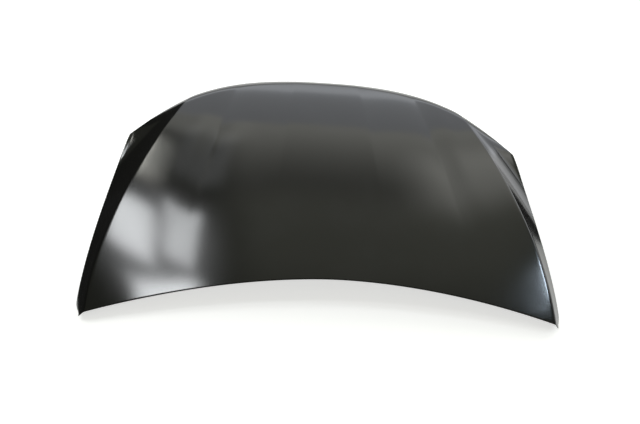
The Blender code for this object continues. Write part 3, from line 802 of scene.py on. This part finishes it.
def dark_card(name, place, size, colour, turn=(0.0, 0.0, 0.0)):
    """A dark card that only shows as a mirror image in the paint; it takes no light away."""
    card = flat_piece(name, place, size, turn)
    material, _, shader = shader_nodes(name, (0.0, 0.0, 0.0), 1.0, 0.0)
    shader.inputs["Specular IOR Level"].default_value = 0.0
    shader.inputs["Emission Color"].default_value = (*colour, 1.0)
    shader.inputs["Emission Strength"].default_value = 1.0
    card.data.materials.append(material)
    card.visible_camera = False
    card.visible_diffuse = False
    card.visible_transmission = False
    card.visible_shadow = False


def soft_box(name, place, size, brightness, fades, colour, turn=0.0, facing=(0.0, 0.0, -1.0)):
    """A rectangular lamp; fades are the shares of its size over which each side fades out."""
    lamp = bpy.data.lights.new(name, "AREA")
    lamp.shape = "RECTANGLE"
    lamp.size, lamp.size_y = size
    lamp.energy = brightness * math.pi * size[0] * size[1]
    lamp.color = colour
    lamp.use_nodes = True
    tree = lamp.node_tree
    spot = tree.nodes.new("ShaderNodeNewGeometry")
    parts = tree.nodes.new("ShaderNodeSeparateXYZ")
    tree.links.new(spot.outputs["Parametric"], parts.inputs["Vector"])
    left, right, low, high = fades
    across = rise_and_fall(tree, parts.outputs["X"], left, right)
    along = rise_and_fall(tree, parts.outputs["Y"], low, high)
    tree.links.new(product(tree, across, along), tree.nodes["Emission"].inputs["Strength"])
    item = bpy.data.objects.new(name, lamp)
    aim = Vector(facing).to_track_quat("-Z", "Y").to_matrix().to_4x4()
    item.matrix_world = Matrix.Translation(place) @ Matrix.Rotation(turn, 4, "Z") @ aim
    bpy.context.scene.collection.objects.link(item)


def rise_and_fall(tree, share, rise, fall):
    """Rises from 0 to 1 over the first part of a share and falls back over the last."""
    rising = graded(tree, share, 0.0, 1.0, 0.0, rise)
    falling = graded(tree, share, 1.0, 0.0, 1.0 - fall, 1.0)
    return product(tree, rising, falling)


def studio():
    """A white ground, and the dark ceiling, wall and floor that the paint mirrors."""
    ground = flat_piece("ground", (0.0, 0.0, 0.0), (80.0, 80.0))
    ground.data.materials.append(ground_material())
    upright = math.radians(90.0)
    dark_card("dark_ceiling", (0.0, 0.0, CEILING + 0.02), (14.0, 14.0), ROOM_TONE)
    dark_card("dark_floor_left", (-2.74, 0.0, 0.001), (4.0, 6.0), DARK_TONE)
    dark_card("dark_wall_left", (-3.0, 1.0, 1.25), (2.5, 10.0), DARK_TONE, (0.0, upright, 0.0))
    dark_card("dark_floor_right", (0.985, 0.0, 0.001), (0.33, 6.0), DARK_TONE)


def surroundings():
    """A world that is white where it is seen and lights the scene only dimly."""
    world = bpy.data.worlds.new("room")
    world.use_nodes = True
    tree = world.node_tree
    fill = tree.nodes["Background"]
    fill.inputs["Color"].default_value = (*OLIVE, 1.0)
    fill.inputs["Strength"].default_value = FILL_STRENGTH
    white = tree.nodes.new("ShaderNodeBackground")
    white.inputs["Color"].default_value = (1.0, 1.0, 1.0, 1.0)
    either = tree.nodes.new("ShaderNodeMixShader")
    tree.links.new(background_rays(tree), either.inputs["Fac"])
    tree.links.new(fill.outputs["Background"], either.inputs[1])
    tree.links.new(white.outputs["Background"], either.inputs[2])
    tree.links.new(either.outputs["Shader"], tree.nodes["World Output"].inputs["Surface"])
    bpy.context.scene.world = world


def ceiling_pane(name, across, along, size, brightness, fades=SOFT, turn=0.0, drop=0.06,
                 colour=DAYLIGHT):
    """A lamp that looks down from just under the ceiling; lamps that overlap hang at different drops."""
    soft_box(name, (across, along, CEILING - drop), size, brightness, fades, colour, math.radians(turn))


def lights():
    """Bright walls ahead and to the right and panes of light in the ceiling, mirrored by the skin."""
    forward = (0.0, -1.0, 0.0)
    leftward = (-1.0, 0.0, 0.0)
    soft_box("front_wall", (1.15, 3.0, 1.45), (5.7, 2.1), 1.60, (0.06, 0.05, 0.25, HARD), HAZE,
             facing=forward)
    soft_box("front_low", (1.15, 2.9, 0.85), (5.7, 1.1), 0.4, (0.06, 0.05, 0.4, 0.6), SKY,
             facing=forward)
    soft_box("right_wall", (4.0, 1.9, 1.22), (3.4, 2.4), 1.5, (0.15, 0.15, 0.05, 0.3), DAYLIGHT,
             facing=leftward)
    ceiling_pane("ceiling_glow", 1.05, 1.85, (4.4, 2.3), 1.8, (0.10, 0.05, 0.95, HARD),
                 drop=0.0, colour=NEUTRAL)
    ceiling_pane("ceiling_left", -1.20, 2.50, (1.1, 1.0), 1.5, (0.10, 0.40, 0.50, HARD),
                 drop=0.02, colour=NEUTRAL)
    ceiling_pane("ceiling_near", 0.90, 0.65, (4.4, 1.5), 0.45, (0.2, 0.2, 0.5, 0.3),
                 drop=0.02, colour=OLIVE)
    ceiling_pane("ceiling_right", 2.12, 1.70, (2.15, 1.6), 1.45, (0.35, 0.15, 0.3, 0.5),
                 drop=0.04, colour=NEUTRAL)
    ceiling_pane("ceiling_corner", 3.45, 1.90, (1.1, 2.2), 2.4, (0.3, 0.1, 0.4, 0.1))
    ceiling_pane("halo_left", -1.58, 0.60, (1.6, 1.2), 3.2, (0.5, 0.5, 0.5, 0.5), drop=0.08)
    ceiling_pane("haze_left", -1.07, 1.85, (0.54, 1.50), 0.8, (0.3, 0.4, 0.2, 0.3),
                 turn=-5.0, drop=0.10)
    ceiling_pane("strip_left", -1.475, 1.60, (0.15, 1.15), 11.5, (0.3, 0.3, 0.3, 0.4),
                 turn=-9.0, colour=NEUTRAL)
    ceiling_pane("pane_left_1", -1.74, 0.66, (0.38, 0.62), 14.5, (0.2, 0.2, 0.2, 0.2), turn=-12.0)
    ceiling_pane("pane_left_2", -1.33, 0.68, (0.36, 0.64), 9.5, (0.2, 0.2, 0.2, 0.2), turn=-14.0)
    ceiling_pane("pane_left_3", -1.50, 0.18, (0.84, 0.26), 19.0, (0.2, 0.3, 0.2, 0.2), turn=8.0)
    ceiling_pane("pane_right", 2.92, 0.35, (0.48, 0.12), 72.0, turn=-48.0, colour=SKY)


def camera():
    """The photograph's viewpoint."""
    data = bpy.data.cameras.new("camera")
    data.lens = LENS
    data.sensor_width = SENSOR
    view = bpy.data.objects.new("camera", data)
    turn = Matrix.Rotation(math.radians(CAMERA_TURN), 4, "Z")
    tilt = Matrix.Rotation(math.radians(90.0 - CAMERA_LOOK_DOWN), 4, "X")
    roll = Matrix.Rotation(math.radians(CAMERA_ROLL), 4, "Z")
    view.matrix_world = Matrix.Translation(CAMERA_PLACE) @ turn @ tilt @ roll
    bpy.context.scene.collection.objects.link(view)
    bpy.context.scene.camera = view


def add_piece(name, data, material, slot, *nodes):
    piece = bpy.data.objects.new(name, data)
    data.materials.append(material)
    bpy.context.scene.collection.objects.link(piece)
    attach(piece, "root")
    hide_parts(*nodes)


def dress_fixing(item, material):
    """Gives a packed fixing, which keeps its own shape, a better material."""
    for holder in item.material_slots:
        holder.material = material


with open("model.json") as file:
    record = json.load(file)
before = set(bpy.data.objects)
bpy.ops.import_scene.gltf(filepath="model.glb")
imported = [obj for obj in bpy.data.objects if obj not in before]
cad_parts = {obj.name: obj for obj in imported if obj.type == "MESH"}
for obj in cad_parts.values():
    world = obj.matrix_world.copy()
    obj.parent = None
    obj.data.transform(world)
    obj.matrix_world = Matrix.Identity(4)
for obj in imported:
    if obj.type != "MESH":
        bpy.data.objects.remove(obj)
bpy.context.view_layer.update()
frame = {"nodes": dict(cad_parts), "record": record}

skin_primer = primer_material("skin_primer", (0.0065, 0.0065, 0.006), (0.009, 0.009, 0.009), 0.10, 0.12)
frame_primer = primer_material("frame_primer", (0.014, 0.014, 0.015), (0.030, 0.030, 0.031), 0.34, 0.46)

x, v = grid_places(*skin_grid())
skin = skin_points(x, v)
normals = skin_normals(x, v)
place = rest_matrix(skin, normals)
skin = moved(skin, place)
normals = normals @ np.array(place.to_3x3()).T
skin_mesh = skin_sheet(skin, normals).mesh("skin")
add_piece("skin", skin_mesh, skin_primer, "primed_skin", "outer_skin")
frame_mesh = frame_sheet(place).mesh("pressed_frame")
add_piece("pressed_frame", frame_mesh, frame_primer, "primed_frame", "inner_frame")

zinc = zinc_material()
mastic = mastic_material()
for part in frame["record"]["subparts"]:
    node, slot = part["node"], part["material_slot"]
    if slot == "mastic":
        add_piece(node.replace("mastic", "bead"), mastic_bead(node, place), mastic, "mastic", node)
    elif node not in ("outer_skin", "inner_frame"):
        dress_fixing(frame["nodes"][node], zinc if slot == "zinc_plate" else frame_primer)

studio()
surroundings()
lights()
camera()
bpy.context.scene.view_settings.view_transform = "Standard"
